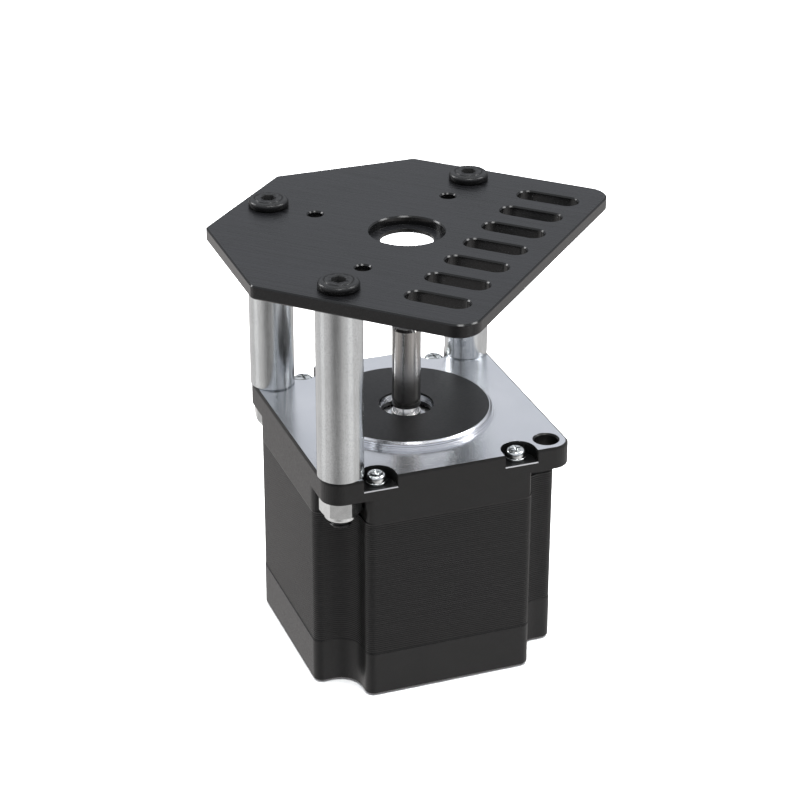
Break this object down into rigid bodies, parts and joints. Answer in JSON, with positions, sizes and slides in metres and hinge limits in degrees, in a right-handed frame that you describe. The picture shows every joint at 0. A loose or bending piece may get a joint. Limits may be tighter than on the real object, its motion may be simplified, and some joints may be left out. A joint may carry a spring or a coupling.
{
  "type": "stepper motor with standoff mounting plate",
  "caption": "Square-flanged stepper motor with its shaft upwards, carrying a black slotted mounting plate on round standoffs with a bearing seat over the shaft.",
  "frame": {"origin": "centre of the motor's rear face, on the shaft axis", "axes": "+Z along the output shaft towards the plate; +X along the plate's slots, towards the slotted edge; +Y across the slots. The motor's square is turned 45 degrees about Z, as its flange corners carry the standoffs."},
  "size_m": [0.0781, 0.08, 0.0989],
  "materials": {
    "plate_black": "black anodised, straight brushed grain, satin",
    "standoff_metal": "bright turned, satin",
    "black_oxide": "black oxide, satin",
    "zinc": "bright zinc plate",
    "nylon": "natural nylon",
    "bell_paint": "black paint on a die casting, front face machined bright",
    "stator_paint": "black paint over stacked laminations",
    "insulator_plastic": "moulded nylon",
    "copper": "enamelled copper winding",
    "board": "glass-epoxy board",
    "grommet_rubber": "moulded rubber",
    "shaft_steel": "ground steel",
    "rotor_steel": "ground laminations",
    "magnet": "sintered magnet",
    "bearing_steel": "ground and polished",
    "cage_steel": "pressed steel",
    "spring_steel": "spring steel"
  },
  "bodies": {
    "frame": {"mounting_plate": "plate_black", "standoff_front": "standoff_metal", "plate_bolt_front": "black_oxide", "lock_nut_front": "zinc", "nut_insert_front": "nylon", "standoff_rear": "standoff_metal", "plate_bolt_rear": "black_oxide", "lock_nut_rear": "zinc", "nut_insert_rear": "nylon", "standoff_left": "standoff_metal", "plate_bolt_left": "black_oxide", "lock_nut_left": "zinc", "nut_insert_left": "nylon", "front_bell": "bell_paint", "rear_bell": "bell_paint", "stator_stack": "stator_paint", "front_insulator": "insulator_plastic", "rear_insulator": "insulator_plastic", "coil_1": "copper", "coil_2": "copper", "coil_3": "copper", "coil_4": "copper", "coil_5": "copper", "coil_6": "copper", "coil_7": "copper", "coil_8": "copper", "terminal_board": "board", "lead_grommet": "grommet_rubber", "tie_screw_1": "zinc", "tie_washer_1": "zinc", "tie_screw_2": "zinc", "tie_washer_2": "zinc", "tie_screw_3": "zinc", "tie_washer_3": "zinc", "tie_screw_4": "zinc", "tie_washer_4": "zinc", "front_bearing_outer_ring": "bearing_steel", "front_bearing_shields": "cage_steel", "rear_bearing_outer_ring": "bearing_steel", "rear_bearing_shields": "cage_steel", "wave_washer": "spring_steel"},
    "rotor": {"shaft": "shaft_steel", "rear_rotor_cup": "rotor_steel", "front_rotor_cup": "rotor_steel", "rotor_magnet": "magnet", "front_bearing_inner_ring": "bearing_steel", "rear_bearing_inner_ring": "bearing_steel"},
    "front_ball_set": {"front_bearing_balls": "bearing_steel", "front_bearing_cage": "cage_steel"},
    "rear_ball_set": {"rear_bearing_balls": "bearing_steel", "rear_bearing_cage": "cage_steel"}
  },
  "joints": [
    {"name": "rotor_spin", "type": "hinge", "parent": "frame", "child": "rotor", "pos_m": [0, 0, 0.054], "axis": [0, 0, 1], "continuous": true},
    {"name": "front_balls_orbit", "type": "hinge", "parent": "frame", "child": "front_ball_set", "pos_m": [0, 0, 0.0502], "axis": [0, 0, 1], "continuous": true},
    {"name": "rear_balls_orbit", "type": "hinge", "parent": "frame", "child": "rear_ball_set", "pos_m": [0, 0, 0.005], "axis": [0, 0, 1], "continuous": true}
  ],
  "couplings": [
    {"joint": "front_balls_orbit", "follows": "rotor_spin", "ratio": 0.3929},
    {"joint": "rear_balls_orbit", "follows": "rotor_spin", "ratio": 0.3929}
  ]
}
